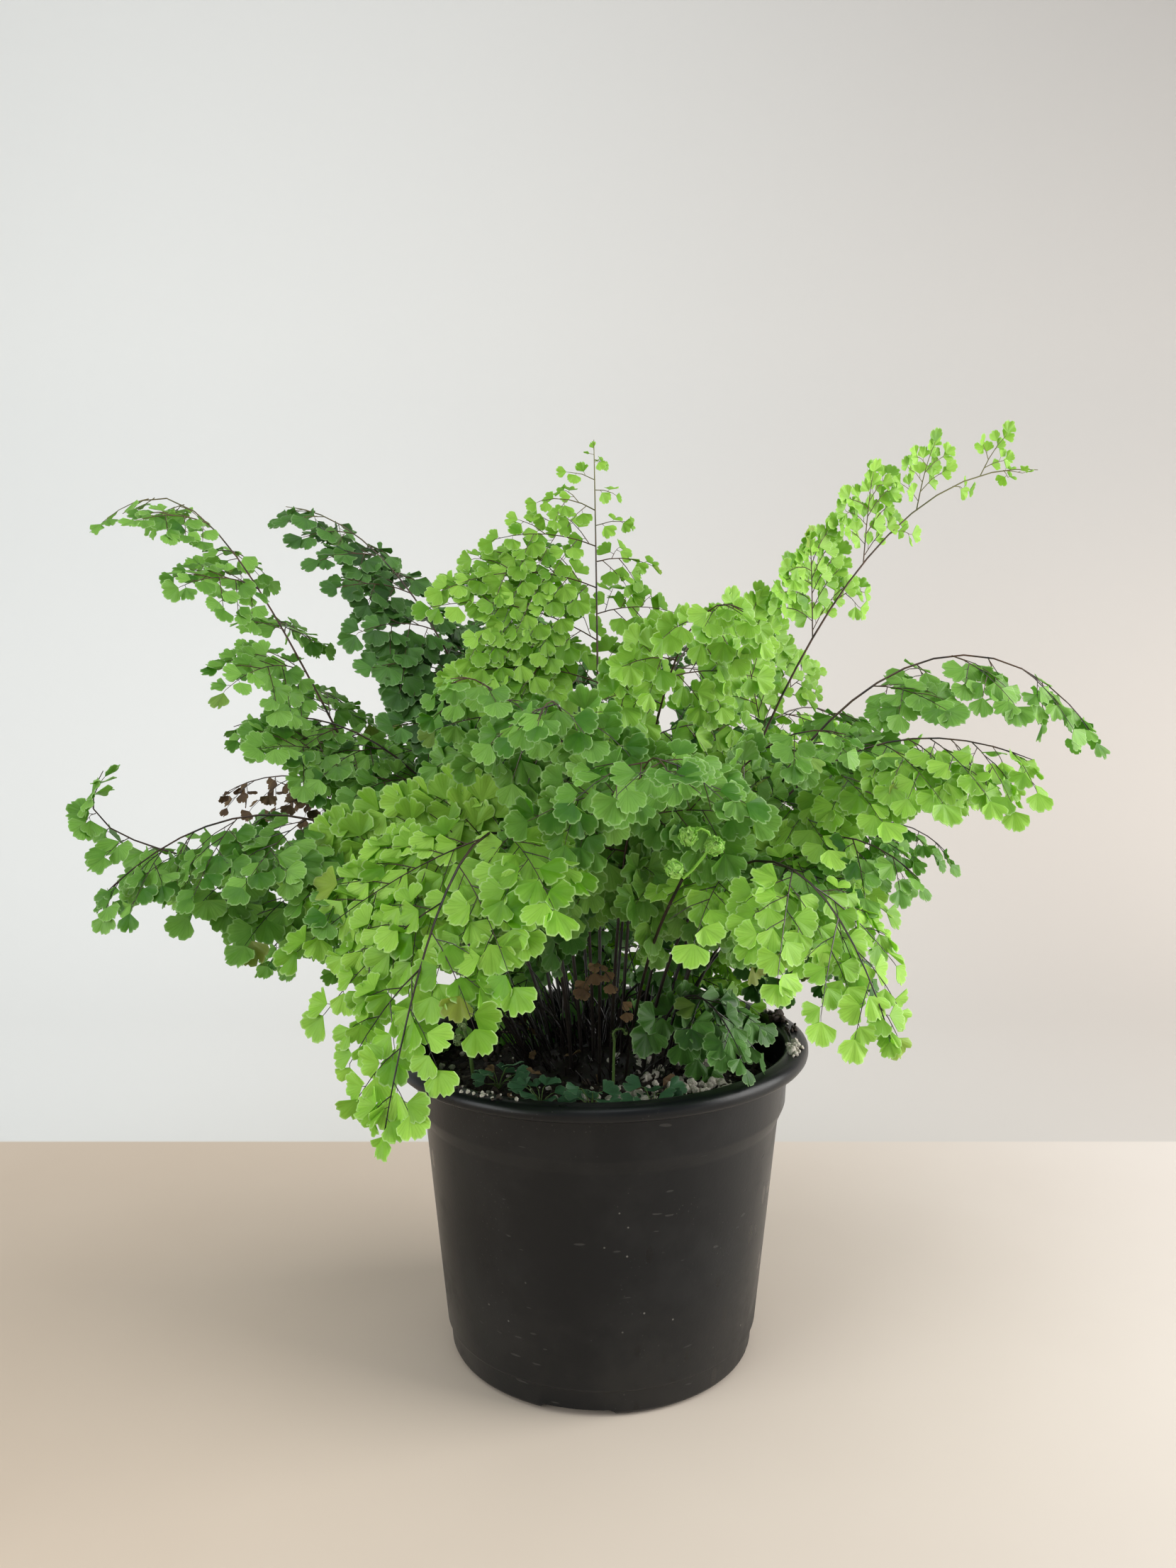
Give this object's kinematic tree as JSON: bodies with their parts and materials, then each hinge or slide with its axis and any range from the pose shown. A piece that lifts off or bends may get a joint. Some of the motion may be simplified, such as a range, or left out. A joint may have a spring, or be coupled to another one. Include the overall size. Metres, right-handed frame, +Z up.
{
  "type": "potted maidenhair fern",
  "caption": "Maidenhair fern with arching fronds of small fan-shaped leaflets on thin black stalks, growing in potting mix in a tapered black plastic nursery pot.",
  "frame": {"origin": "middle of the pot's underside, in the plane it stands on", "axes": "+Z up, -Y towards the viewer in the picture, +X to the viewer's right"},
  "size_m": [0.421, 0.324, 0.3805],
  "materials": {
    "pot_plastic": "satin",
    "potting_mix": "matte",
    "stalk": "satin",
    "leaf_young": "satin",
    "leaf_mature": "satin",
    "leaf_dark": "satin",
    "leaf_withered": "matte",
    "crozier_green": "satin"
  },
  "bodies": {
    "root": {"crozier_1": "crozier_green", "crozier_2": "crozier_green", "crozier_3": "crozier_green", "frond_back_centre": "leaf_mature", "frond_back_left": "leaf_mature", "frond_back_left_high": "leaf_dark", "frond_back_low_left": "leaf_mature", "frond_back_low_right": "leaf_young", "frond_back_right": "leaf_young", "frond_back_right_high": "leaf_dark", "frond_bright_left": "leaf_mature", "frond_bright_right": "leaf_young", "frond_dark_centre": "leaf_dark", "frond_front_centre": "leaf_mature", "frond_front_left": "leaf_young", "frond_front_right": "leaf_young", "frond_front_tier_left": "leaf_mature", "frond_left_dark": "leaf_dark", "frond_left_long": "leaf_mature", "frond_left_middle": "leaf_mature", "frond_left_tier": "leaf_mature", "frond_left_upturned": "leaf_mature", "frond_low_left": "leaf_mature", "frond_low_right": "leaf_dark", "frond_over_soil": "leaf_dark", "frond_right_arching": "leaf_mature", "frond_right_back_low": "leaf_mature", "frond_right_long": "leaf_young", "frond_right_low_tier": "leaf_mature", "frond_right_middle": "leaf_young", "frond_right_tier": "leaf_mature", "frond_top": "leaf_young", "frond_withered_front": "leaf_withered", "frond_withered_left": "leaf_withered", "pot": "pot_plastic", "rhizome": "stalk", "soil": "potting_mix", "sporeling_1": "leaf_dark", "sporeling_2": "leaf_dark", "sporeling_3": "leaf_dark", "sporeling_4": "leaf_dark"}
  },
  "joints": []
}
